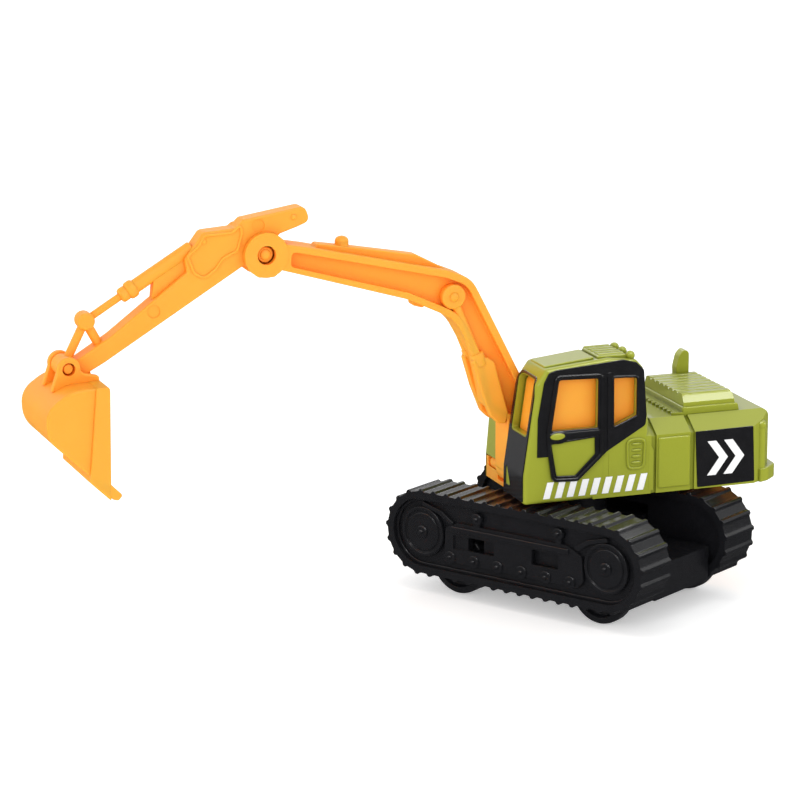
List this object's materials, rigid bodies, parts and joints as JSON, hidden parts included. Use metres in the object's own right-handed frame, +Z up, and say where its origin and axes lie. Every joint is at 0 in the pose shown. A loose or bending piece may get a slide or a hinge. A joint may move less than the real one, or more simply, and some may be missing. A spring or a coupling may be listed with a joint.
{
  "type": "toy crawler excavator",
  "caption": "Small die-cast toy crawler excavator with hidden free-rolling wheels, a swinging upper body and a hinged plastic boom, stick and bucket.",
  "frame": {"origin": "middle of the toy's own box in plan, on the surface that its wheels stand on, in the pose it is shown in", "axes": "+Z up; the upper body and its arm face -X, so +X is the rear; the cab is on the -Y side; the crawler undercarriage stands turned 57.66 degrees clockwise under the upper body"},
  "size_m": [0.149, 0.074, 0.0822],
  "materials": {
    "green_paint": "glossy yellow-green paint on die-cast metal, with black printed window surround and side panel",
    "orange_plastic": "smooth moulded orange plastic, semi-gloss, slightly translucent",
    "black_plastic": "glossy moulded black plastic",
    "steel": "bright zinc-plated steel"
  },
  "bodies": {
    "undercarriage": {"chassis_frame": "black_plastic", "chassis_base_plate": "black_plastic", "track_left": "black_plastic", "track_right": "black_plastic", "chassis_screw_front": "steel", "chassis_screw_rear": "steel"},
    "front_wheelset": {"front_axle": "steel", "front_wheel_left": "black_plastic", "front_wheel_right": "black_plastic"},
    "rear_wheelset": {"rear_axle": "steel", "rear_wheel_left": "black_plastic", "rear_wheel_right": "black_plastic"},
    "house": {"house_body": "green_paint", "cab_window_insert": "orange_plastic", "house_base_plate": "orange_plastic", "swing_washer": "steel", "swing_screw": "steel", "body_screw_front": "steel", "body_screw_rear": "steel"},
    "boom_arm": {"boom": "orange_plastic"},
    "stick_arm": {"stick": "orange_plastic"},
    "bucket_shell": {"bucket": "orange_plastic"}
  },
  "joints": [
    {"name": "front_wheels_roll", "type": "hinge", "parent": "undercarriage", "child": "front_wheelset", "pos_m": [0.02659, 0.01316, 0.0065], "axis": [0.8449, 0.5349, 0], "continuous": true},
    {"name": "rear_wheels_roll", "type": "hinge", "parent": "undercarriage", "child": "rear_wheelset", "pos_m": [0.04478, -0.01557, 0.0065], "axis": [0.8449, 0.5349, 0], "continuous": true},
    {"name": "house_swing", "type": "hinge", "parent": "undercarriage", "child": "house", "pos_m": [0.03493, -0.00002, 0.0222], "axis": [0, 0, 1], "continuous": true},
    {"name": "boom_lift", "type": "hinge", "parent": "house", "child": "boom_arm", "pos_m": [0.02233, 0.00023, 0.0255], "axis": [0, 1, 0], "range_deg": [-20, 10]},
    {"name": "stick_curl", "type": "hinge", "parent": "boom_arm", "child": "stick_arm", "pos_m": [-0.02957, 0.00023, 0.0736], "axis": [0, 1, 0], "range_deg": [-50, 15]},
    {"name": "bucket_tilt", "type": "hinge", "parent": "stick_arm", "child": "bucket_shell", "pos_m": [-0.06897, 0.00023, 0.0546], "axis": [0, 1, 0], "range_deg": [-8, 70]}
  ]
}
